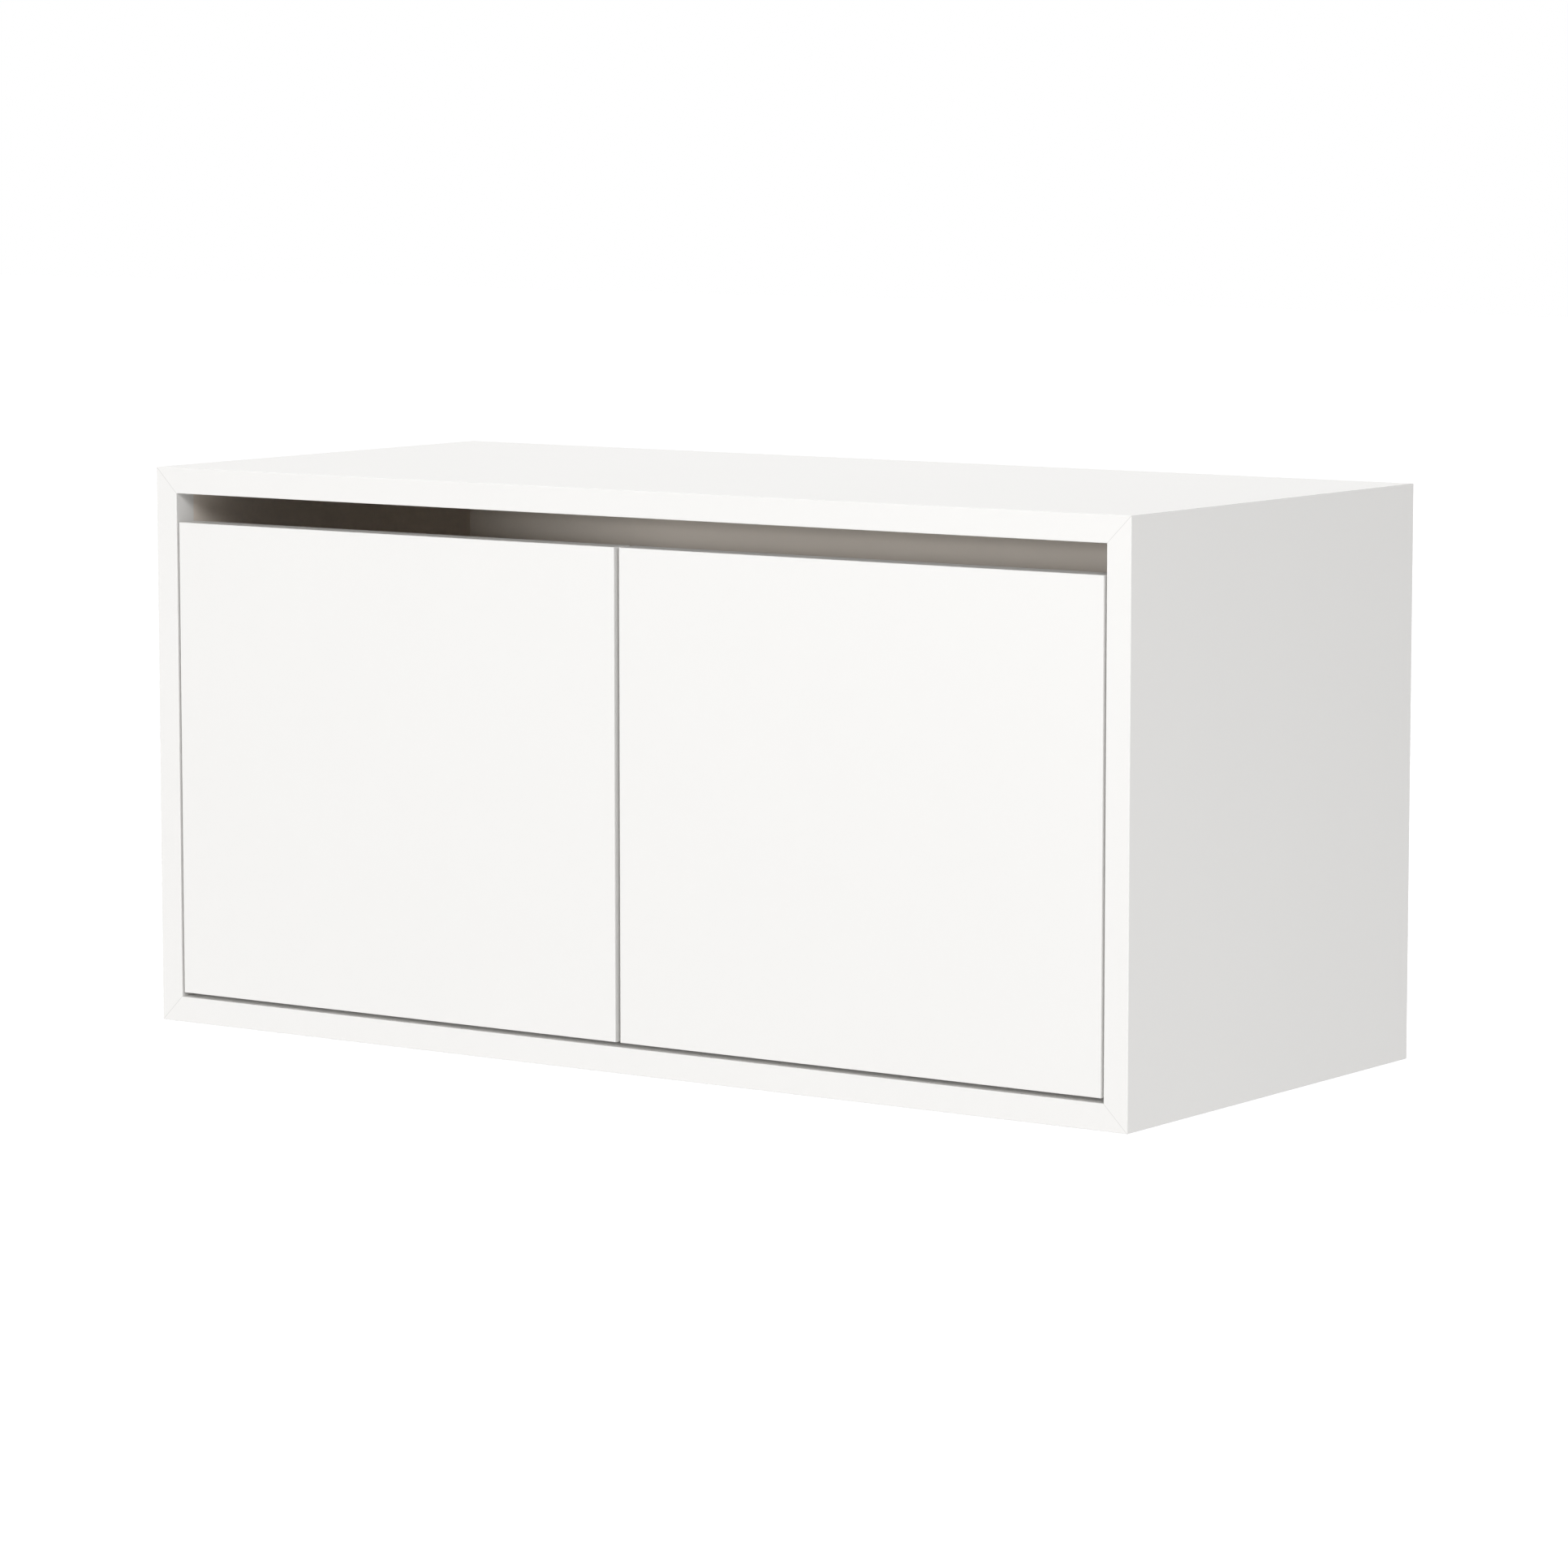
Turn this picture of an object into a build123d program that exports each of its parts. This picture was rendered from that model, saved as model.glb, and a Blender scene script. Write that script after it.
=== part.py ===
from build123d import *
from math import atan2, degrees, hypot, sqrt
import os

os.makedirs("parts", exist_ok=True)

# Hanging wall cabinet with two inset doors, in millimetres.
# X runs along the width, +Y points into the wall and +Z points up. The wall is y = 0,
# and the origin is the middle of the wall rail's screw line.

# ------------------------------------------------------------------ driving dimensions

# carcass: four boards, mitred into a ring, and a back panel held in a groove
cabinet_width = 800.0
cabinet_height = 390.0
cabinet_depth = 356.0
board = 18.0
edge_radius = 0.6
back_thickness = 8.0
back_setback = 18.0
groove_depth = 7.0
groove_play = 0.5

# doors: inset between the boards and flush with the front edges
door_thickness = 18.0
side_gap = 2.0
centre_gap = 4.0
finger_gap = 20.0
bottom_gap = 3.0

# spline: a loose plywood tongue across each mitre
spline_thickness = 4.0
spline_width = 12.0
spline_setback = 20.0
spline_from_heel = 9.0
spline_fit = 0.05
spline_end_play = 0.5

# shelf on four pins, and the holes that the pins plug into
shelf_thickness = 18.0
shelf_side_play = 1.0
shelf_back_play = 3.0
shelf_front_setback = 70.0
shelf_height = 178.0
pin_row_setback = 40.0
pin_hole_diameter = 5.0
pin_hole_depth = 11.0
pin_length = 9.0
pin_fit = 0.05
pin_peg_diameter = 7.0
pin_peg_length = 8.0

# wall rail: a folded steel strip whose upper lip stands off the wall
rail_from_top = 62.0
rail_gauge = 2.0
rail_end_play = 6.0
rail_below_screws = 16.0
rail_flat_above_screws = 9.0
rail_standoff = 6.0
rail_lip_height = 30.0
rail_bend_radius = 2.5
rail_hole_diameter = 6.4
rail_outer_hole_spacing = 600.0
rail_inner_hole_spacing = 200.0

# hangers: folded brackets on the side panels, whose hooks drop behind the rail's lip
hanger_gauge = 2.0
hanger_width = 36.0
hanger_back_play = 3.0
hanger_hook_drop = 9.0
hanger_bottom = -24.0
hanger_flange_top = 22.0
hanger_flange_front = 3.0
hanger_hook_start = 6.0
hanger_screw_heights = (-15.0, 12.0)
hanger_screw_setback = 7.8
hanger_screw_head = (7.0, 1.8)

# hinge positions on the doors and the side panels
hinge_from_door_end = 72.0
hinge_plate_setback = 55.0
plate_screw_spacing = 32.0
plate_screw_head = (9.0, 2.4)

# hinge cup, pressed into the door, with a pocket for the folded links
cup_from_door_edge = 3.0
cup_diameter = 35.0
cup_fit = 0.05
cup_depth = 11.5
cup_end_play = 0.5
cup_flange = 1.0
cup_pocket_floor = 7.5
cup_pocket_length = 30.6
cup_pocket_offset = 0.3
cup_pocket_width = 16.4
cup_pocket_corner = 3.0
cup_pocket_chamfer = 0.7
cup_ear_offset = 6.0
cup_ear_spacing = 48.0
cup_ear_radius = 6.0
cup_screw_head = (7.0, 1.8)

# hinge pivots, as (from the side panel's inner face, behind the doors' front face)
inner_arm_pivot = (35.4, 26.9)
outer_arm_pivot = (38.2, 21.5)
inner_cup_pivot = (16.9, 9.8)
outer_cup_pivot = (18.2, 14.3)
pivot_diameter = 2.4
pivot_fit = 0.05
pivot_seat = 12.0

# hinge links: a thick inner lever and a pair of thin outer legs beside it
inner_link_width = 3.4
outer_leg_width = 3.0
link_eye_radius = 2.0
link_side_play = 0.4
inner_link_thickness = 9.0
inner_link_corner = (30.8, 12.6)
inner_link_radius = 12.0
outer_leg_thickness = 1.2

# slot at the arm end of each outer leg, which lets that pivot slide as the door swings
slot_travel = 2.3
slot_centre_offset = 0.2
slot_width = 3.3
slot_wall = 0.6

# hinge arm: a folded channel, cranked from the mounting plate out to its two pivots
arm_gauge = 1.2
arm_width = 15.4
arm_pivot_radius = 3.2
arm_web_line = ((9.6, 86.0), (9.6, 47.0), (23.0, 34.2), (34.0, 30.4))
arm_lower_line = ((36.0, 24.0), (30.0, 27.0), (12.0, 30.0), (3.4, 42.0), (3.4, 86.0))
arm_screw_setbacks = (63.0, 76.0)
arm_screw_head = (8.0, 2.2)

# mounting plate under each arm, with a wing above and below it
plate_front = 47.0
plate_back = 84.0
plate_width = 11.8
plate_height = 9.0
wing_span = 46.0
wing_width = 13.0
wing_thickness = 3.0

# screw heads, each given above as (diameter, height)
head_taper = 0.8
recess_width = 0.7
recess_depth = 1.0
recess_share = 0.55

# ------------------------------------------------------------------- derived positions

half_width = cabinet_width / 2
inner_half_width = half_width - board
top = rail_from_top
bottom = top - cabinet_height
inner_top = top - board
inner_bottom = bottom + board
mid_height = (top + bottom) / 2
front = -cabinet_depth
back_rear_face = -back_setback
back_front_face = back_rear_face - back_thickness
spline_length = back_front_face - front - 2 * spline_setback

door_bottom = inner_bottom + bottom_gap
door_top = inner_top - finger_gap
door_height = door_top - door_bottom
door_mid_height = (door_top + door_bottom) / 2
door_hinge_edge = inner_half_width - side_gap
door_free_edge = centre_gap / 2
door_width = door_hinge_edge - door_free_edge
door_back = front + door_thickness

SIDES = {"left": -1, "right": 1}


def save(piece, name):
    """Label one finished piece and write it as its own file."""
    piece.part.label = name
    export_step(piece.part, f"parts/{name}.step")


def side_plane(side, x, y=0.0, z=0.0):
    """A plane facing the middle of the cabinet. Its own axes run along the depth and the height."""
    return Plane((side * x, y, z), x_dir=(0, -side, 0), z_dir=(-side, 0, 0))


# ----------------------------------------------------------------------------- carcass


def mitre_plane(side, level):
    """The joint face of one corner. Its normal points into the horizontal board."""
    corner = (side * half_width, 0, top if level > 0 else bottom)
    return Plane(corner, x_dir=(0, 1, 0), z_dir=(-side, 0, level))


def spline_place(side, level):
    """The middle of one corner's spline. X runs along the depth and Z across the joint."""
    face = mitre_plane(side, level)
    from_corner = board - spline_from_heel / sqrt(2)
    middle = (front + back_front_face) / 2
    offset = Vector(-side * from_corner, middle, -level * from_corner)
    return Plane(face.origin + offset, x_dir=face.x_dir, z_dir=face.z_dir)


def mill_spline_groove(side, level):
    with Locations(spline_place(side, level)):
        Box(
            spline_length + 2 * spline_end_play,
            spline_thickness + 2 * spline_fit,
            spline_width + 2 * spline_end_play,
            mode=Mode.SUBTRACT,
        )


# the four boards start as one ring, so that their eased edges meet at the mitres
with BuildPart() as ring:
    with BuildSketch(Plane.XZ):
        with Locations((0, mid_height)):
            RectangleRounded(cabinet_width, cabinet_height, edge_radius)
            Rectangle(2 * inner_half_width, inner_top - inner_bottom, mode=Mode.SUBTRACT)
    extrude(amount=cabinet_depth)
    fillet(ring.faces().sort_by(Axis.Y)[0].edges(), edge_radius)
    with Locations((0, back_front_face, mid_height)):
        Box(
            2 * (inner_half_width + groove_depth),
            back_thickness,
            inner_top - inner_bottom + 2 * groove_depth,
            align=(Align.CENTER, Align.MIN, Align.CENTER),
            mode=Mode.SUBTRACT,
        )

for name, level in (("top_panel", 1), ("bottom_panel", -1)):
    with BuildPart() as horizontal_panel:
        add(ring.part)
        split(bisect_by=Plane((0, 0, mid_height), z_dir=(0, 0, level)))
        for side in SIDES.values():
            split(bisect_by=mitre_plane(side, level))
            mill_spline_groove(side, level)
    save(horizontal_panel, name)

# blind holes in the side panels' inner faces, for the shelf pins
shelf_bottom = inner_bottom + shelf_height
shelf_front = front + shelf_front_setback
shelf_back = back_front_face - shelf_back_play
pin_depths = (shelf_front + pin_row_setback, shelf_back - pin_row_setback)
pin_height = shelf_bottom - pin_peg_diameter / 2

hinge_heights = (
    door_bottom + hinge_from_door_end,
    door_top - hinge_from_door_end,
)

for side_name, side in SIDES.items():
    with BuildPart() as side_panel:
        add(ring.part)
        for level in (1, -1):
            split(bisect_by=mitre_plane(side, level), keep=Keep.BOTTOM)
            mill_spline_groove(side, level)
        with Locations(*[side_plane(side, inner_half_width, depth, pin_height) for depth in pin_depths]):
            Hole(pin_hole_diameter / 2, pin_hole_depth)
    save(side_panel, f"{side_name}_side_panel")

with BuildPart() as back_panel:
    with Locations((0, back_front_face, mid_height)):
        Box(
            2 * (inner_half_width + groove_depth - groove_play),
            back_thickness,
            inner_top - inner_bottom + 2 * (groove_depth - groove_play),
            align=(Align.CENTER, Align.MIN, Align.CENTER),
        )
save(back_panel, "back_panel")

with BuildPart() as mitre_splines:
    for side in SIDES.values():
        for level in (1, -1):
            with Locations(spline_place(side, level)):
                Box(spline_length, spline_thickness, spline_width)
save(mitre_splines, "mitre_splines")


# ------------------------------------------------------------------------------- shelf

with BuildPart() as shelf:
    with Locations((0, shelf_front, shelf_bottom)):
        Box(
            2 * (inner_half_width - shelf_side_play),
            shelf_back - shelf_front,
            shelf_thickness,
            align=(Align.CENTER, Align.MIN, Align.MIN),
        )
    fillet(shelf.edges().filter_by(Axis.X).group_by(Axis.Y)[0], edge_radius)
save(shelf, "shelf")

# each pin is turned: a thin end that plugs into its hole, and a thick end under the shelf
with BuildPart() as shelf_pin:
    Cylinder(
        pin_hole_diameter / 2 - pin_fit,
        pin_length,
        align=(Align.CENTER, Align.CENTER, Align.MAX),
    )
    Cylinder(pin_peg_diameter / 2, pin_peg_length, align=(Align.CENTER, Align.CENTER, Align.MIN))
with BuildPart() as shelf_pins:
    for side in SIDES.values():
        with Locations(*[side_plane(side, inner_half_width, depth, pin_height) for depth in pin_depths]):
            add(shelf_pin.part)
save(shelf_pins, "shelf_pins")


# ------------------------------------------------------------------------------- doors

# hinge pieces are drawn in each hinge's own frame: X from the side panel's inner face towards
# the middle of the cabinet, Y from the doors' front face towards the wall and Z up
hinge_centres = [(-inner_half_width, front, height) for height in hinge_heights]
cup_centre = side_gap + cup_from_door_edge + cup_diameter / 2
ear_places = [
    (cup_centre + cup_ear_offset, level * cup_ear_spacing / 2) for level in (-1, 1)
]


def save_both(left_piece, name):
    """Save a piece of the left-hand side, and its mirror image for the right-hand side."""
    save(left_piece, f"left_{name}")
    with BuildPart() as right_piece:
        mirror(left_piece.part, about=Plane.YZ)
    save(right_piece, f"right_{name}")


def back_face(x, y, z):
    """A plane facing the wall at one point of the left-hand side."""
    return Plane((x, y, z), x_dir=(1, 0, 0), z_dir=(0, 1, 0))


with BuildPart() as door:
    with Locations((-(door_hinge_edge + door_free_edge) / 2, front, door_mid_height)):
        Box(door_width, door_thickness, door_height, align=(Align.CENTER, Align.MIN, Align.CENTER))
    front_and_back = door.edges().filter_by(Axis.Y, reverse=True)
    fillet(front_and_back, edge_radius)
    for height in hinge_heights:
        with Locations(back_face(cup_centre - inner_half_width, door_back, height)):
            Hole(cup_diameter / 2 + cup_fit, cup_depth + cup_end_play)
save_both(door, "door")


# ------------------------------------------------------------------------ screw heads


def add_screw_heads(places, head_diameter, head_height):
    """Stand a tapered head with a cross recess on each place of the piece being built."""
    recess_length = head_diameter * recess_share
    with Locations(*places):
        Cone(
            head_diameter / 2,
            head_diameter / 2 - head_taper,
            head_height,
            align=(Align.CENTER, Align.CENTER, Align.MIN),
        )
        with Locations((0, 0, head_height)):
            for span in ((recess_length, recess_width), (recess_width, recess_length)):
                Box(
                    *span,
                    recess_depth,
                    align=(Align.CENTER, Align.CENTER, Align.MAX),
                    mode=Mode.SUBTRACT,
                )


# ---------------------------------------------------------------------- concealed hinges


def save_hinge_pieces(piece, name):
    """Place one piece at each hinge of the left door, and mirror the set for the right door."""
    with BuildPart() as left_set:
        with Locations(*hinge_centres):
            add(piece.part)
    save_both(left_set, name)


def leg_layers():
    """Where the two outer legs start along Z, on either side of the inner lever."""
    near = inner_link_thickness / 2 + link_side_play
    return (near, -near - outer_leg_thickness)


# cup: a turned body with an eared flange, and a pocket milled right through the flange
cup_face = back_face(cup_centre, door_thickness, 0)
with BuildPart() as hinge_cup:
    with BuildSketch(cup_face):
        Circle(cup_diameter / 2)
    extrude(amount=-cup_depth)
    with BuildSketch(cup_face) as flange:
        Circle(cup_diameter / 2)
        with Locations(*[(cup_ear_offset, side * cup_ear_spacing / 2) for side in (-1, 1)]):
            Circle(cup_ear_radius)
        make_hull()
    extrude(amount=cup_flange)
    with BuildSketch(cup_face.offset(cup_pocket_floor - door_thickness)):
        with Locations((cup_pocket_offset, 0)):
            RectangleRounded(cup_pocket_length, cup_pocket_width, cup_pocket_corner)
    extrude(amount=cup_depth + cup_flange, mode=Mode.SUBTRACT)
    pocket_rim = hinge_cup.faces().sort_by(Axis.Y)[-1].inner_wires()[0]
    chamfer(pocket_rim.edges(), cup_pocket_chamfer)
    ear_tops = [back_face(x, door_thickness + cup_flange, z) for x, z in ear_places]
    # the inner pin runs right across, and the outer pin is two stubs beside the inner lever
    with Locations(inner_cup_pivot):
        Cylinder(pivot_diameter / 2, 2 * pivot_seat)
    stub_start = leg_layers()[0] - link_side_play / 2
    for level in (-1, 1):
        with Locations((*outer_cup_pivot, level * (stub_start + pivot_seat) / 2)):
            Cylinder(pivot_diameter / 2, pivot_seat - stub_start)
    add_screw_heads(ear_tops, *cup_screw_head)
save_hinge_pieces(hinge_cup, "hinge_cups")

# inner lever: a curved bar that reaches around the edge of the folded door
with BuildPart() as inner_link:
    with BuildSketch(Plane.XY.offset(-inner_link_thickness / 2)):
        with BuildLine():
            FilletPolyline(
                inner_arm_pivot,
                inner_link_corner,
                inner_cup_pivot,
                radius=inner_link_radius,
            )
        trace(line_width=inner_link_width)
        with Locations(inner_arm_pivot, inner_cup_pivot):
            Circle(link_eye_radius)
            Circle(pivot_diameter / 2 + pivot_fit, mode=Mode.SUBTRACT)
    extrude(amount=inner_link_thickness)
save_hinge_pieces(inner_link, "inner_links")

# outer legs: round eyes on the cup's stub pins, and slotted ends on the arm's pin
leg_run = Vector(*outer_arm_pivot) - Vector(*outer_cup_pivot)
leg_direction = leg_run.normalized()
leg_angle = degrees(atan2(leg_direction.Y, leg_direction.X))
slot_centre = (
    Vector(*outer_arm_pivot)
    - leg_direction * (slot_travel / 2)
    + leg_direction.rotate(Axis.Z, 90) * slot_centre_offset
)
with BuildPart() as outer_link:
    for layer in leg_layers():
        with BuildSketch(Plane.XY.offset(layer)):
            with BuildLine():
                Line(outer_cup_pivot, slot_centre)
            trace(line_width=outer_leg_width)
            with Locations(outer_cup_pivot):
                Circle(link_eye_radius)
            with Locations(slot_centre):
                SlotCenterToCenter(slot_travel, slot_width + 2 * slot_wall, rotation=leg_angle)
                SlotCenterToCenter(
                    slot_travel,
                    slot_width,
                    rotation=leg_angle,
                    mode=Mode.SUBTRACT,
                )
            with Locations(outer_cup_pivot):
                Circle(pivot_diameter / 2 + pivot_fit, mode=Mode.SUBTRACT)
        extrude(amount=outer_leg_thickness)
save_hinge_pieces(outer_link, "outer_links")

# arm: two cheeks joined by a web that follows their upper edge
arm_screw_places = [
    Plane((arm_web_line[0][0] + arm_gauge / 2, setback, 0), x_dir=(0, 1, 0), z_dir=(1, 0, 0))
    for setback in arm_screw_setbacks
]
with BuildPart() as hinge_arm:
    for layer in (-arm_width / 2, arm_width / 2 - arm_gauge):
        with BuildSketch(Plane.XY.offset(layer)):
            with Locations(inner_arm_pivot):
                Circle(arm_pivot_radius)
            with Locations(outer_arm_pivot):
                Circle(link_eye_radius)
            make_hull()
            Polygon(*arm_web_line, *arm_lower_line, align=None)
        extrude(amount=arm_gauge)
    with BuildSketch(Plane.XY.offset(-arm_width / 2)):
        with BuildLine():
            Polyline(*arm_web_line)
        trace(line_width=arm_gauge)
    extrude(amount=arm_width)
    with Locations(inner_arm_pivot, outer_arm_pivot):
        Cylinder(pivot_diameter / 2, arm_width - arm_gauge)
    add_screw_heads(arm_screw_places, *arm_screw_head)
save_hinge_pieces(hinge_arm, "hinge_arms")

# mounting plate: a raised body under the arm, on two wings that carry the screws
panel_face = Plane((0, 0, 0), x_dir=(0, 1, 0), z_dir=(1, 0, 0))
wing_face = panel_face.offset(wing_thickness)
wing_screw_places = [
    wing_face * Pos(hinge_plate_setback, level * plate_screw_spacing / 2, 0) for level in (-1, 1)
]
with BuildPart() as mounting_plate:
    with BuildSketch(panel_face):
        with Locations((hinge_plate_setback, 0)):
            SlotOverall(wing_span, wing_width, rotation=90)
    extrude(amount=wing_thickness)
    with BuildSketch(panel_face):
        with Locations(((plate_front + plate_back) / 2, 0)):
            Rectangle(plate_back - plate_front, plate_width)
    extrude(amount=plate_height)
    add_screw_heads(wing_screw_places, *plate_screw_head)
save_hinge_pieces(mounting_plate, "mounting_plates")


# ------------------------------------------------------------------------- wall fixing

rail_half_length = inner_half_width - rail_end_play
rail_centre = rail_gauge / 2
with BuildPart() as wall_rail:
    with BuildSketch(Plane.YZ):
        with BuildLine():
            FilletPolyline(
                (-rail_centre, -rail_below_screws),
                (-rail_centre, rail_flat_above_screws),
                (-rail_centre - rail_standoff, rail_flat_above_screws + rail_standoff),
                (-rail_centre - rail_standoff, rail_lip_height),
                radius=rail_bend_radius,
            )
        trace(line_width=rail_gauge)
    extrude(amount=rail_half_length, both=True)
    rail_holes = [
        Plane((side * spacing / 2, -rail_gauge, 0), x_dir=(1, 0, 0), z_dir=(0, -1, 0))
        for side in SIDES.values()
        for spacing in (rail_outer_hole_spacing, rail_inner_hole_spacing)
    ]
    with Locations(*rail_holes):
        Hole(rail_hole_diameter / 2, 2 * rail_gauge)
save(wall_rail, "wall_rail")

# hanger: an angle bracket against the side panel, with a hook over the rail's lip
hanger_centre = hanger_gauge / 2
hanger_web = -back_setback + hanger_back_play + hanger_centre
hook_top = rail_lip_height + hanger_centre
hook_tongue = -hanger_gauge - hanger_centre
with BuildPart() as hanger:
    with BuildSketch(Plane.XY.offset(hanger_bottom)):
        with BuildLine():
            FilletPolyline(
                (-inner_half_width + hanger_width, hanger_web),
                (-inner_half_width + hanger_centre, hanger_web),
                (-inner_half_width + hanger_centre, -hanger_flange_front),
                radius=rail_bend_radius,
            )
        trace(line_width=hanger_gauge)
    extrude(amount=hanger_flange_top - hanger_bottom)
    with BuildSketch(Plane.YZ.offset(-inner_half_width + hanger_hook_start)):
        with BuildLine():
            FilletPolyline(
                (hanger_web, hanger_flange_top - hanger_gauge),
                (hanger_web, hook_top),
                (hook_tongue, hook_top),
                (hook_tongue, rail_lip_height - hanger_hook_drop),
                radius=rail_bend_radius,
            )
        trace(line_width=hanger_gauge)
    extrude(amount=hanger_width - hanger_hook_start)
    hanger_screw_places = [
        Plane(
            (-inner_half_width + hanger_gauge, -hanger_screw_setback, height),
            x_dir=(0, 1, 0),
            z_dir=(1, 0, 0),
        )
        for height in hanger_screw_heights
    ]
    add_screw_heads(hanger_screw_places, *hanger_screw_head)
save_both(hanger, "hanger")
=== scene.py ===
import logging
import math
from dataclasses import dataclass
from enum import Enum

import bpy
from mathutils import Euler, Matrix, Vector


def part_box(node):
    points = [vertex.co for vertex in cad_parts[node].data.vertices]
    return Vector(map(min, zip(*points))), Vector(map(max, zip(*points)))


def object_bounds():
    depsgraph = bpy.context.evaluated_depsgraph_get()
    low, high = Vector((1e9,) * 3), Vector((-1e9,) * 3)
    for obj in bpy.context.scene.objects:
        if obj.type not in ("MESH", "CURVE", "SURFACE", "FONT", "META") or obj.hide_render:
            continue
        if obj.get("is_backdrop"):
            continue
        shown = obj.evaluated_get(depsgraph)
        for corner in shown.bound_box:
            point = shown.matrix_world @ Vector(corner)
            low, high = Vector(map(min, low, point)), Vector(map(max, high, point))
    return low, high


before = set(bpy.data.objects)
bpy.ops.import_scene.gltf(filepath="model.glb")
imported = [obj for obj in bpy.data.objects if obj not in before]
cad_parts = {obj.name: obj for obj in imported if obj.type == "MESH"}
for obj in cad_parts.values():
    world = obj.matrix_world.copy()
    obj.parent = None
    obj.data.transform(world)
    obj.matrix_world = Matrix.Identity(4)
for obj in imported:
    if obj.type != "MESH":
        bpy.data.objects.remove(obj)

LOG = logging.getLogger("wall_cabinet")
MILLIMETRE = 0.001

Span = tuple[float, float]
Triple = tuple[float, float, float]
Colour = Triple


class Side(Enum):
    """The two mirrored halves of the cabinet."""

    LEFT = "left"
    RIGHT = "right"


# ------------------------------------------------------------------- shader building


class Shader:
    """A node tree with short ways to add, set and join its nodes."""

    def __init__(self, tree: bpy.types.NodeTree) -> None:
        """Start on a tree.

        Args:
            tree: The material's or the group's node tree, emptied by the caller.
        """
        self.tree = tree

    def add(self, kind: str, **settings: object) -> bpy.types.Node:
        """Add one node.

        Args:
            kind: The node's type, without the leading "ShaderNode".
            settings: Attributes of the node, such as operation="MULTIPLY".

        Returns:
            The new node.
        """
        node = self.tree.nodes.new("ShaderNode" + kind)
        for name, value in settings.items():
            setattr(node, name, value)
        return node

    def join(self, source: bpy.types.NodeSocket, target: bpy.types.NodeSocket) -> None:
        """Link an output to an input."""
        self.tree.links.new(source, target)

    def feed(self, target: bpy.types.NodeSocket, value: object) -> None:
        """Give an input its value.

        Args:
            target: The input socket.
            value: An output socket to link, or a number, colour or vector to set.
        """
        if isinstance(value, bpy.types.NodeSocket):
            self.join(value, target)
        elif target.type == "RGBA":
            target.default_value = (*value, 1.0)
        else:
            target.default_value = value

    def compute(self, operation: str, first: object, second: object = 0.0) -> bpy.types.NodeSocket:
        """Add one step of arithmetic.

        Args:
            operation: The Math node's operation.
            first: The first number or socket.
            second: The second number or socket.

        Returns:
            The result's socket.
        """
        node = self.add("Math", operation=operation)
        self.feed(node.inputs[0], first)
        self.feed(node.inputs[1], second)
        return node.outputs[0]

    def spread(
        self, value: object, low: object, high: object, start: float, end: float
    ) -> bpy.types.NodeSocket:
        """Map a value from one range to another, with soft ends.

        Args:
            value: The number or socket to map.
            low: Where the result is start.
            high: Where the result is end.
            start: The result at low.
            end: The result at high.

        Returns:
            The mapped value's socket.
        """
        node = self.add("MapRange", interpolation_type="SMOOTHSTEP")
        for socket, given in zip(node.inputs, (value, low, high, start, end)):
            self.feed(socket, given)
        return node.outputs[0]

    def blend(
        self, factor: object, first: object, second: object, way: str = "MIX"
    ) -> bpy.types.NodeSocket:
        """Mix two colours.

        Args:
            factor: How much of the second colour shows.
            first: The colour at 0, as a tuple or socket.
            second: The colour at 1, as a tuple or socket.
            way: The Mix node's blend type.

        Returns:
            The mixed colour's socket.
        """
        node = self.add("Mix", data_type="RGBA", blend_type=way)
        self.feed(node.inputs[0], factor)
        self.feed(node.inputs[6], first)
        self.feed(node.inputs[7], second)
        return node.outputs[2]

    def noise(self, point: object, size: object, detail: float) -> bpy.types.NodeSocket:
        """Add a soft noise.

        Args:
            point: The place's socket.
            size: How many waves there are in a metre.
            detail: How many finer layers lie on the first.

        Returns:
            The noise's socket.
        """
        node = self.add("TexNoise")
        self.feed(node.inputs["Vector"], point)
        self.feed(node.inputs["Scale"], size)
        self.feed(node.inputs["Detail"], detail)
        return node.outputs["Fac"]

    def looked_at(self) -> bpy.types.NodeSocket:
        """Tell what is seen, straight or in a gloss or through glass, from what only lights.

        Returns:
            A socket that is 1 for what is seen.
        """
        path = self.add("LightPath").outputs
        seen = self.compute("MAXIMUM", path["Is Camera Ray"], path["Is Glossy Ray"])
        return self.compute("MAXIMUM", seen, path["Is Transmission Ray"])


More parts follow.
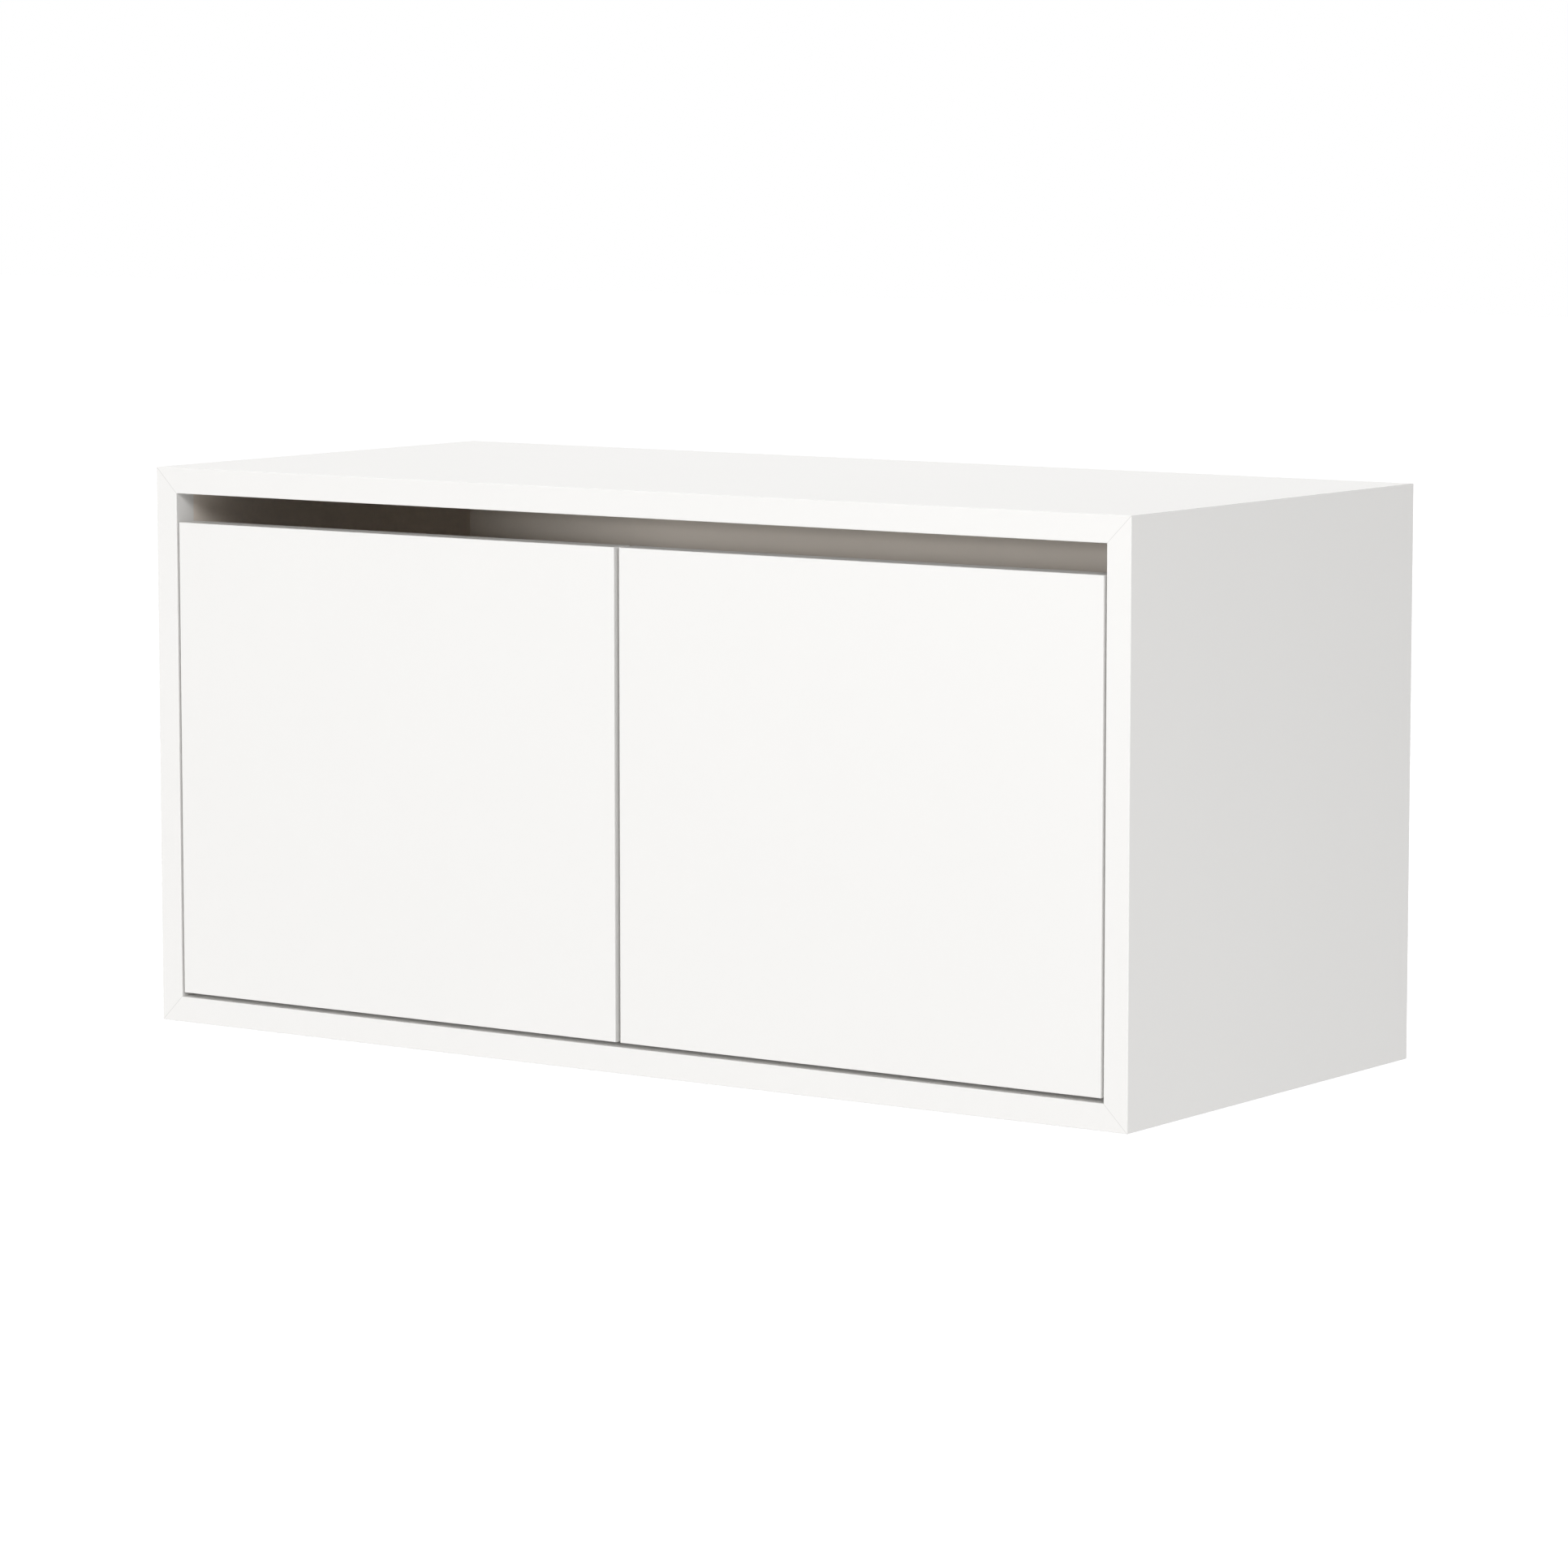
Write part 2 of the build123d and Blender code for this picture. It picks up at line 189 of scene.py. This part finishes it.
class Effect:
    """A node group that several finishes share, built once."""

    built: dict[str, bpy.types.NodeTree] = {}

    def __init__(self, name: str) -> None:
        """Name the group.

        Args:
            name: The group's name.
        """
        self.name = name

    def sockets(self) -> list[tuple[str, str, str, object]]:
        """List the group's sockets.

        Returns:
            A (name, "INPUT" or "OUTPUT", type, default) for each socket.
        """
        raise NotImplementedError

    def wire(self, shader: Shader, given: dict, out: dict) -> None:
        """Build the nodes between the group's inputs and outputs.

        Args:
            shader: The group's tree.
            given: Input sockets by name.
            out: Output sockets by name.
        """
        raise NotImplementedError

    def tree(self) -> bpy.types.NodeTree:
        """Build the group the first time, and hand it out.

        Returns:
            The group's node tree.
        """
        if self.name not in Effect.built:
            tree = bpy.data.node_groups.new(self.name, "ShaderNodeTree")
            for name, way, kind, default in self.sockets():
                kind = "NodeSocket" + kind
                socket = tree.interface.new_socket(name, in_out=way, socket_type=kind)
                if default is not None:
                    socket.default_value = default
            start = tree.nodes.new("NodeGroupInput")
            end = tree.nodes.new("NodeGroupOutput")
            given = {socket.name: socket for socket in start.outputs if socket.name}
            out = {socket.name: socket for socket in end.inputs if socket.name}
            self.wire(Shader(tree), given, out)
            Effect.built[self.name] = tree
        return Effect.built[self.name]

    def place(self, shader: Shader, **values: object) -> bpy.types.Node:
        """Put the group in a material.

        Args:
            shader: The material's tree.
            values: Input values or sockets, with underscores for the spaces in their names.

        Returns:
            The group's node.
        """
        node = shader.add("Group", node_tree=self.tree())
        for name, value in values.items():
            shader.feed(node.inputs[name.replace("_", " ")], value)
        return node


class SprayedSkin(Effect):
    """The faint waviness of a sprayed and rubbed coat, and its slight change of tone."""

    def sockets(self) -> list[tuple[str, str, str, object]]:
        """List the group's sockets.

        Returns:
            A (name, way, type, default) for each socket.
        """
        return [
            ("Point", "INPUT", "Vector", None),
            ("Ripple size", "INPUT", "Float", 700.0),
            ("Tone size", "INPUT", "Float", 9.0),
            ("Tone change", "INPUT", "Float", 0.012),
            ("Height", "OUTPUT", "Float", None),
            ("Tone", "OUTPUT", "Float", None),
        ]

    def wire(self, shader: Shader, given: dict, out: dict) -> None:
        """Build the ripple and the tone from two noises.

        Args:
            shader: The group's tree.
            given: Input sockets by name.
            out: Output sockets by name.
        """
        ripple = shader.noise(given["Point"], given["Ripple size"], 2.0)
        broad = shader.noise(given["Point"], given["Tone size"], 3.0)
        swing = shader.compute("SUBTRACT", broad, 0.5)
        drift = shader.compute("MULTIPLY", swing, given["Tone change"])
        shader.join(ripple, out["Height"])
        shader.join(shader.compute("ADD", drift, 1.0), out["Tone"])


class JointLine(Effect):
    """The hairline where two boards meet at a mitre, as a mask that is 1 on the line."""

    def sockets(self) -> list[tuple[str, str, str, object]]:
        """List the group's sockets.

        Returns:
            A (name, way, type, default) for each socket.
        """
        return [
            ("Point", "INPUT", "Vector", None),
            ("Half width", "INPUT", "Float", None),
            ("Top", "INPUT", "Float", None),
            ("Bottom", "INPUT", "Float", None),
            ("Line width", "INPUT", "Float", None),
            ("Line", "OUTPUT", "Float", None),
        ]

    def wire(self, shader: Shader, given: dict, out: dict) -> None:
        """Measure the distance to the nearest mitre plane and fade it to a line.

        Args:
            shader: The group's tree.
            given: Input sockets by name.
            out: Output sockets by name.
        """
        split = shader.add("SeparateXYZ")
        shader.join(given["Point"], split.inputs[0])
        across = shader.compute("ABSOLUTE", split.outputs["X"])
        from_side = shader.compute("SUBTRACT", given["Half width"], across)
        below = shader.compute("SUBTRACT", given["Top"], split.outputs["Z"])
        above = shader.compute("SUBTRACT", split.outputs["Z"], given["Bottom"])
        nearest = shader.compute("MINIMUM", below, above)
        apart = shader.compute("ABSOLUTE", shader.compute("SUBTRACT", from_side, nearest))
        square = shader.compute("MULTIPLY", apart, math.sqrt(0.5))
        half_line = shader.compute("MULTIPLY", given["Line width"], 0.5)
        shader.join(shader.spread(square, 0.0, half_line, 1.0, 0.0), out["Line"])


class InnerFace(Effect):
    """A mask that is 1 on faces inside the cabinet, behind the doors, where the boards get their
    warm painted shade.
    """

    def sockets(self) -> list[tuple[str, str, str, object]]:
        """List the group's sockets.

        Returns:
            A (name, way, type, default) for each socket.
        """
        return [
            ("Point", "INPUT", "Vector", None),
            ("Half width", "INPUT", "Float", None),
            ("Middle", "INPUT", "Float", None),
            ("Half height", "INPUT", "Float", None),
            ("Door back", "INPUT", "Float", None),
            ("Inside", "OUTPUT", "Float", None),
        ]

    def wire(self, shader: Shader, given: dict, out: dict) -> None:
        """Compare the point with the inner box of the carcass.

        Args:
            shader: The group's tree.
            given: Input sockets by name.
            out: Output sockets by name.
        """
        slack = 0.4 * MILLIMETRE
        split = shader.add("SeparateXYZ")
        shader.join(given["Point"], split.inputs[0])
        across = shader.compute("ABSOLUTE", split.outputs["X"])
        wide = shader.compute("ADD", given["Half width"], slack)
        between = shader.compute("LESS_THAN", across, wide)
        from_middle = shader.compute("SUBTRACT", split.outputs["Z"], given["Middle"])
        up = shader.compute("ABSOLUTE", from_middle)
        tall = shader.compute("ADD", given["Half height"], slack)
        level = shader.compute("LESS_THAN", up, tall)
        behind = shader.compute("GREATER_THAN", split.outputs["Y"], given["Door back"])
        both = shader.compute("MULTIPLY", between, level)
        shader.join(shader.compute("MULTIPLY", both, behind), out["Inside"])


class MetalGrain(Effect):
    """Plated metal: a cloudy tone, and fine drawn lines that roughen it."""

    def sockets(self) -> list[tuple[str, str, str, object]]:
        """List the group's sockets.

        Returns:
            A (name, way, type, default) for each socket.
        """
        return [
            ("Point", "INPUT", "Vector", None),
            ("Stretch", "INPUT", "Vector", (1.0, 1.0, 1.0)),
            ("Line size", "INPUT", "Float", 900.0),
            ("Cloud size", "INPUT", "Float", 60.0),
            ("Height", "OUTPUT", "Float", None),
            ("Cloud", "OUTPUT", "Float", None),
        ]

    def wire(self, shader: Shader, given: dict, out: dict) -> None:
        """Build stretched lines and a soft cloud.

        Args:
            shader: The group's tree.
            given: Input sockets by name.
            out: Output sockets by name.
        """
        stretch = shader.add("VectorMath", operation="MULTIPLY")
        shader.join(given["Point"], stretch.inputs[0])
        shader.join(given["Stretch"], stretch.inputs[1])
        lines = shader.noise(stretch.outputs[0], given["Line size"], 3.0)
        cloud = shader.noise(given["Point"], given["Cloud size"], 4.0)
        shader.join(lines, out["Height"])
        shader.join(cloud, out["Cloud"])


SPRAYED_SKIN = SprayedSkin("sprayed_skin")
JOINT_LINE = JointLine("joint_line")
INNER_FACE = InnerFace("inner_face")
METAL_GRAIN = MetalGrain("metal_grain")


# ------------------------------------------------------------------------- finishes

LACQUER_WHITE = (0.902, 0.893, 0.876)
# Warm off-white on the boards' inner faces and on the shelf: painted shade that stands in for warm
# bounce light in the dim inside of the cabinet, whose real lacquer is the same white as outside.
INNER_PAINTED_SHADE = (0.91, 0.835, 0.755)
SATIN_ROUGHNESS = 0.42
RIPPLE_STRENGTH = 0.25


@dataclass(frozen=True)
class Finish:
    """One finish: what all finishes share. The depth of its relief is in metres."""

    name: str
    colour: Colour
    roughness: float
    bump: float
    depth: float = 0.0

    def material(self) -> bpy.types.Material:
        """Build the finish's material the first time, and hand it out.

        Returns:
            The material.
        """
        known = bpy.data.materials.get(self.name)
        if known is not None:
            return known
        material = bpy.data.materials.new(self.name)
        material.use_nodes = True
        material.node_tree.nodes.clear()
        shader = Shader(material.node_tree)
        surface = shader.add("BsdfPrincipled")
        surface.inputs["Roughness"].default_value = self.roughness
        end = shader.add("OutputMaterial")
        shader.join(surface.outputs[0], end.inputs["Surface"])
        point = shader.add("TexCoord").outputs["Object"]
        self.paint(shader, surface, point)
        return material

    def paint(
        self, shader: Shader, surface: bpy.types.Node, point: bpy.types.NodeSocket
    ) -> None:
        """Wire the finish's own colour, roughness and relief.

        Args:
            shader: The material's tree.
            surface: The Principled node.
            point: The place on the piece, in its own coordinates.
        """
        raise NotImplementedError

    def relief(
        self, shader: Shader, surface: bpy.types.Node, height: bpy.types.NodeSocket
    ) -> None:
        """Join a height to the surface's normal.

        Args:
            shader: The material's tree.
            surface: The Principled node.
            height: The height's socket.
        """
        bump = shader.add("Bump")
        bump.inputs["Strength"].default_value = self.bump
        bump.inputs["Distance"].default_value = self.depth
        shader.join(height, bump.inputs["Height"])
        shader.join(bump.outputs[0], surface.inputs["Normal"])


@dataclass(frozen=True)
class Lacquer(Finish):
    """Sprayed satin lacquer, faintly rippled and not quite even in tone."""

    depth: float = 0.02 * MILLIMETRE
    coat_weight: float = 0.12
    coat_roughness: float = 0.3

    def base(self, shader: Shader, point: bpy.types.NodeSocket) -> object:
        """Choose the colour under the tone.

        Args:
            shader: The material's tree.
            point: The place on the piece, in its own coordinates.

        Returns:
            A colour or a colour socket.
        """
        return self.colour

    def paint(
        self, shader: Shader, surface: bpy.types.Node, point: bpy.types.NodeSocket
    ) -> None:
        """Wire the lacquer's tone and its ripple.

        Args:
            shader: The material's tree.
            surface: The Principled node.
            point: The place on the piece, in its own coordinates.
        """
        surface.inputs["Coat Weight"].default_value = self.coat_weight
        surface.inputs["Coat Roughness"].default_value = self.coat_roughness
        skin = SPRAYED_SKIN.place(shader, Point=point)
        tone = shader.add("CombineColor")
        for socket in tone.inputs[:3]:
            shader.join(skin.outputs["Tone"], socket)
        toned = shader.blend(1.0, self.base(shader, point), tone.outputs[0], "MULTIPLY")
        shader.join(toned, surface.inputs["Base Color"])
        self.relief(shader, surface, skin.outputs["Height"])


@dataclass(frozen=True, kw_only=True)
class BoardLacquer(Lacquer):
    """The boards' lacquer, with hairlines at the mitres and a warm painted shade on the faces
    inside.
    """

    half_width: float
    top: float
    bottom: float
    door_back: float
    board: float
    line_width: float
    line_strength: float
    inner_painted_shade: Colour = INNER_PAINTED_SHADE
    line_colour: Colour = (0.25, 0.24, 0.23)

    def base(self, shader: Shader, point: bpy.types.NodeSocket) -> object:
        """Mix the outer coat, the painted shade of the inner faces and the mitre lines.

        Args:
            shader: The material's tree.
            point: The place on the piece, in its own coordinates.

        Returns:
            The mixed colour's socket.
        """
        inside = INNER_FACE.place(
            shader,
            Point=point,
            Half_width=self.half_width - self.board,
            Middle=(self.top + self.bottom) / 2,
            Half_height=(self.top - self.bottom) / 2 - self.board,
            Door_back=self.door_back,
        )
        # Painted shade: faces inside the cabinet take the warm inner colour in place of the outer
        # white.
        coat = shader.blend(inside.outputs["Inside"], self.colour, self.inner_painted_shade)
        line = JOINT_LINE.place(
            shader,
            Point=point,
            Half_width=self.half_width,
            Top=self.top,
            Bottom=self.bottom,
            Line_width=self.line_width,
        )
        amount = shader.compute("MULTIPLY", line.outputs["Line"], self.line_strength)
        return shader.blend(amount, coat, self.line_colour)


@dataclass(frozen=True)
class CoatedBoard(Finish):
    """A thin matt coat over hard board, with a pebbled touch."""

    depth: float = 0.04 * MILLIMETRE
    ripple_size: float = 1500.0
    tone_size: float = 14.0
    tone_change: float = 0.03
    blotch: float = 0.97

    def paint(
        self, shader: Shader, surface: bpy.types.Node, point: bpy.types.NodeSocket
    ) -> None:
        """Wire the board's pebbled relief and its faint blotches.

        Args:
            shader: The material's tree.
            surface: The Principled node.
            point: The place on the piece, in its own coordinates.
        """
        skin = SPRAYED_SKIN.place(
            shader,
            Point=point,
            Ripple_size=self.ripple_size,
            Tone_size=self.tone_size,
            Tone_change=self.tone_change,
        )
        swing = self.tone_change / 2
        tone = shader.spread(skin.outputs["Tone"], 1.0 - swing, 1.0 + swing, 0.0, 1.0)
        darker = tuple(channel * self.blotch for channel in self.colour)
        colour = shader.blend(tone, darker, self.colour)
        shader.join(colour, surface.inputs["Base Color"])
        self.relief(shader, surface, skin.outputs["Height"])


@dataclass(frozen=True)
class Beech(Finish):
    """Beech plywood with short pores along its face grain."""

    depth: float = 0.05 * MILLIMETRE
    dark: Colour = (0.50, 0.31, 0.17)
    band_size: float = 240.0
    band_strength: float = 0.45
    pore_size: float = 1400.0
    pore_stretch: Triple = (1.0, 4.0, 1.0)
    pore_range: Span = (0.6, 0.75)
    pore_strength: float = 0.5

    def paint(
        self, shader: Shader, surface: bpy.types.Node, point: bpy.types.NodeSocket
    ) -> None:
        """Wire bands of early and late wood and their pores.

        Args:
            shader: The material's tree.
            surface: The Principled node.
            point: The place on the piece, in its own coordinates.
        """
        bands = shader.add("TexWave", wave_type="BANDS", bands_direction="Y")
        bands.inputs["Scale"].default_value = self.band_size
        bands.inputs["Distortion"].default_value = 3.0
        bands.inputs["Detail"].default_value = 3.0
        shader.join(point, bands.inputs["Vector"])
        pores = METAL_GRAIN.place(
            shader, Point=point, Stretch=self.pore_stretch, Line_size=self.pore_size
        )
        amount = shader.compute("MULTIPLY", bands.outputs["Fac"], self.band_strength)
        wood = shader.blend(amount, self.colour, self.dark)
        speck = shader.spread(pores.outputs["Height"], *self.pore_range, 0.0, self.pore_strength)
        shader.join(shader.blend(speck, wood, self.dark), surface.inputs["Base Color"])
        self.relief(shader, surface, pores.outputs["Height"])


@dataclass(frozen=True, kw_only=True)
class PlatedMetal(Finish):
    """Pressed or turned steel under a thin plating."""

    shade: Colour
    depth: float = 0.02 * MILLIMETRE
    stretch: Triple = (0.08, 1.0, 1.0)
    cloud_range: Span = (0.35, 0.65)
    grain_range: Span = (0.3, 0.7)
    gloss_range: Span = (0.85, 1.25)

    def paint(
        self, shader: Shader, surface: bpy.types.Node, point: bpy.types.NodeSocket
    ) -> None:
        """Wire the plating's clouds, drawn lines and uneven gloss.

        Args:
            shader: The material's tree.
            surface: The Principled node.
            point: The place on the piece, in its own coordinates.
        """
        surface.inputs["Metallic"].default_value = 1.0
        grain = METAL_GRAIN.place(shader, Point=point, Stretch=self.stretch)
        cloud = shader.spread(grain.outputs["Cloud"], *self.cloud_range, 0.0, 1.0)
        shader.join(shader.blend(cloud, self.shade, self.colour), surface.inputs["Base Color"])
        low, high = (self.roughness * share for share in self.gloss_range)
        rough = shader.spread(grain.outputs["Height"], *self.grain_range, low, high)
        shader.join(rough, surface.inputs["Roughness"])
        self.relief(shader, surface, grain.outputs["Height"])


DOOR_LACQUER = Lacquer("door_lacquer", LACQUER_WHITE, SATIN_ROUGHNESS, RIPPLE_STRENGTH)
# The shelf takes the warm inner colour: painted shade standing in for the bounce light inside the
# cabinet.
SHELF_LACQUER = Lacquer("shelf_lacquer", INNER_PAINTED_SHADE, 0.5, RIPPLE_STRENGTH)
# The back board's warm tint is painted shade, like the inner faces', standing in for the warm
# bounce light inside the cabinet.
BACK_COAT = CoatedBoard("back_coat", (0.94, 0.865, 0.775), 0.6, 0.3)
SPLINE_BEECH = Beech("spline_beech", (0.72, 0.52, 0.33), 0.6, 0.5)
NICKEL = PlatedMetal("nickel_plate", (0.74, 0.72, 0.69), 0.26, 0.3, shade=(0.62, 0.61, 0.59))
ZINC = PlatedMetal("zinc_plate", (0.70, 0.72, 0.74), 0.36, 0.35, shade=(0.55, 0.58, 0.62))

# -------------------------------------------------------------------- sub-assemblies


@dataclass
class Assembly:
    """A group of pieces that ride on the cabinet's bodies, and the sizes they share."""

    def pieces(self) -> dict[str, Finish]:
        """List the pieces by name, each with its finish."""
        raise NotImplementedError

    def dress(self) -> None:
        """Give each piece of the group its finish."""
        for name, finish in self.pieces().items():
            material = finish.material()
            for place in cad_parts[name].material_slots:
                place.material = material
            LOG.info("%s: %s", name, finish.name)


def outline(names: tuple[str, ...]) -> tuple[Vector, Vector]:
    """Find the box around some pieces.

    Args:
        names: The pieces' names.

    Returns:
        The box's lowest and highest corners, in metres.
    """
    boxes = [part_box(name) for name in names]
    low = Vector([min(box[0][axis] for box in boxes) for axis in range(3)])
    high = Vector([max(box[1][axis] for box in boxes) for axis in range(3)])
    return low, high


@dataclass
class Carcass(Assembly):
    """The four mitred boards, the back between them and the splines in their joints."""

    board: float = 18.0 * MILLIMETRE
    line_width: float = 0.4 * MILLIMETRE
    line_strength: float = 0.5
    ring: tuple[str, ...] = ("top_panel", "bottom_panel", "left_side_panel", "right_side_panel")

    def lacquer(self) -> BoardLacquer:
        """Fit the lacquer's mitre lines and the painted shade of its inner faces to the boards.

        Returns:
            The finish of the four boards.
        """
        low, high = outline(self.ring)
        return BoardLacquer(
            "board_lacquer",
            LACQUER_WHITE,
            SATIN_ROUGHNESS,
            RIPPLE_STRENGTH,
            half_width=high.x,
            top=high.z,
            bottom=low.z,
            door_back=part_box("left_door")[1].y,
            board=self.board,
            line_width=self.line_width,
            line_strength=self.line_strength,
        )

    def pieces(self) -> dict[str, Finish]:
        """List the boards, the back and the splines, each with its finish.

        Returns:
            The finishes by piece.
        """
        found: dict[str, Finish] = dict.fromkeys(self.ring, self.lacquer())
        found["back_panel"] = BACK_COAT
        found["mitre_splines"] = SPLINE_BEECH
        return found


@dataclass
class Doors(Assembly):
    """The pair of inset doors."""

    def pieces(self) -> dict[str, Finish]:
        """List the doors."""
        return {f"{side.value}_door": DOOR_LACQUER for side in Side}


@dataclass
class Shelving(Assembly):
    """The shelf and the four pins that carry it."""

    def pieces(self) -> dict[str, Finish]:
        """List the shelf and its pins."""
        return {"shelf": SHELF_LACQUER, "shelf_pins": NICKEL}


@dataclass
class Hinges(Assembly):
    """The two concealed hinges of one door."""

    side: Side

    def pieces(self) -> dict[str, Finish]:
        """List the cups, the arms, the plates and the links between them."""
        parts = ("hinge_cups", "hinge_arms", "mounting_plates", "inner_links", "outer_links")
        return {f"{self.side.value}_{part}": NICKEL for part in parts}


@dataclass
class WallFixing(Assembly):
    """The rail on the wall and the two hangers that hook over it."""

    def pieces(self) -> dict[str, Finish]:
        """List the rail and the hangers."""
        return dict.fromkeys(("wall_rail", "left_hanger", "right_hanger"), ZINC)


# ---------------------------------------------------------------------------- studio


@dataclass(frozen=True)
class Lamp:
    """A soft rectangular lamp: where it hangs, its width and height, and its power in watts."""

    name: str
    place: Triple
    width: float
    height: float
    power: float

    def hang(self, target: Vector) -> None:
        """Hang the lamp and point it.

        Args:
            target: What the lamp faces.
        """
        lamp = bpy.data.lights.new(self.name, "AREA")
        lamp.shape = "RECTANGLE"
        lamp.size = self.width
        lamp.size_y = self.height
        lamp.energy = self.power
        stand = bpy.data.objects.new(self.name, lamp)
        stand.location = self.place
        stand.rotation_euler = (target - Vector(self.place)).to_track_quat("-Z", "Y").to_euler()
        bpy.context.scene.collection.objects.link(stand)


@dataclass
class Studio:
    """The floor, the lamps, the surroundings and the camera, in metres and radians."""

    floor_drop: float = 0.9
    floor_size: float = 60.0
    floor_colour: Colour = (0.70, 0.70, 0.70)
    floor_glow: float = 0.97
    camera_place: Triple = (2.3831, -3.5395, 0.3410)
    camera_turn: float = 0.61472
    camera_tilt: float = -0.11878
    camera_reach: float = 200.0
    sensor: float = 36.0
    lens: float = 138.6
    sky: float = 0.20
    sky_colour: Colour = (1.0, 1.0, 1.0)
    lamps: tuple[Lamp, ...] = (
        Lamp("low_left_lamp", (-1.46, -5.14, 0.50), 3.0, 0.40, 113.0),
        Lamp("near_side_lamp", (1.95, -0.55, -0.20), 1.0, 1.0, 5.5),
        Lamp("far_right_lamp", (7.80, -7.00, 4.00), 2.8, 2.8, 388.0),
        Lamp("top_lamp", (-0.40, 0.30, 3.60), 2.0, 2.0, 79.0),
    )

    def build(self) -> None:
        """Set up everything around the cabinet."""
        self.build_floor()
        self.build_lamps()
        self.build_sky()
        self.build_camera()
        bpy.context.scene.view_settings.view_transform = "Standard"

    def build_floor(self) -> None:
        """Lay a wide pale floor well below the hanging cabinet."""
        low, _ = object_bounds()
        bpy.ops.object.select_all(action="DESELECT")
        bpy.ops.mesh.primitive_plane_add(
            size=self.floor_size, location=(0.0, 0.0, low[2] - self.floor_drop)
        )
        floor = bpy.context.active_object
        floor.name = "studio_floor"
        material = bpy.data.materials.new("studio_floor")
        material.use_nodes = True
        material.node_tree.nodes.clear()
        shader = Shader(material.node_tree)
        paint = shader.add("BsdfDiffuse")
        shader.feed(paint.inputs["Color"], self.floor_colour)
        glow = shader.add("Emission")
        strength = shader.compute("MULTIPLY", shader.looked_at(), self.floor_glow)
        shader.join(strength, glow.inputs["Strength"])
        both = shader.add("AddShader")
        shader.join(paint.outputs[0], both.inputs[0])
        shader.join(glow.outputs[0], both.inputs[1])
        end = shader.add("OutputMaterial")
        shader.join(both.outputs[0], end.inputs["Surface"])
        floor.data.materials.append(material)
        floor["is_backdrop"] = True
        LOG.info("floor laid")

    def build_lamps(self) -> None:
        """Hang the soft lamps, all pointing at the middle of the cabinet."""
        low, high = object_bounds()
        middle = (Vector(low) + Vector(high)) / 2
        for lamp in self.lamps:
            lamp.hang(middle)
        LOG.info("lamps hung")

    def build_sky(self) -> None:
        """Light the room evenly, and show white where the camera sees past the cabinet."""
        world = bpy.data.worlds.new("studio_sky")
        bpy.context.scene.world = world
        world.use_nodes = True
        world.node_tree.nodes.clear()
        shader = Shader(world.node_tree)
        gain = shader.compute("MULTIPLY", shader.looked_at(), 1.0 - self.sky)
        back = shader.add("Background")
        shader.join(shader.compute("ADD", gain, self.sky), back.inputs["Strength"])
        shader.feed(back.inputs["Color"], self.sky_colour)
        end = shader.add("OutputWorld")
        shader.join(back.outputs[0], end.inputs["Surface"])
        LOG.info("sky set")

    def build_camera(self) -> None:
        """Place the camera to the right of the cabinet, a little above it."""
        lens = bpy.data.cameras.new("camera")
        lens.sensor_width = self.sensor
        lens.lens = self.lens
        lens.clip_end = self.camera_reach
        camera = bpy.data.objects.new("camera", lens)
        camera.location = self.camera_place
        camera.rotation_euler = Euler((math.pi / 2 + self.camera_tilt, 0.0, self.camera_turn))
        bpy.context.scene.collection.objects.link(camera)
        bpy.context.scene.camera = camera
        LOG.info("camera placed")


def main() -> None:
    """Dress the cabinet and set up the studio."""
    logging.basicConfig(level=logging.INFO, format="%(message)s")
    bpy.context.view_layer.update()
    hinges = [Hinges(side) for side in Side]
    for assembly in (Carcass(), Doors(), Shelving(), *hinges, WallFixing()):
        assembly.dress()
    Studio().build()


if __name__ == "__main__":
    main()
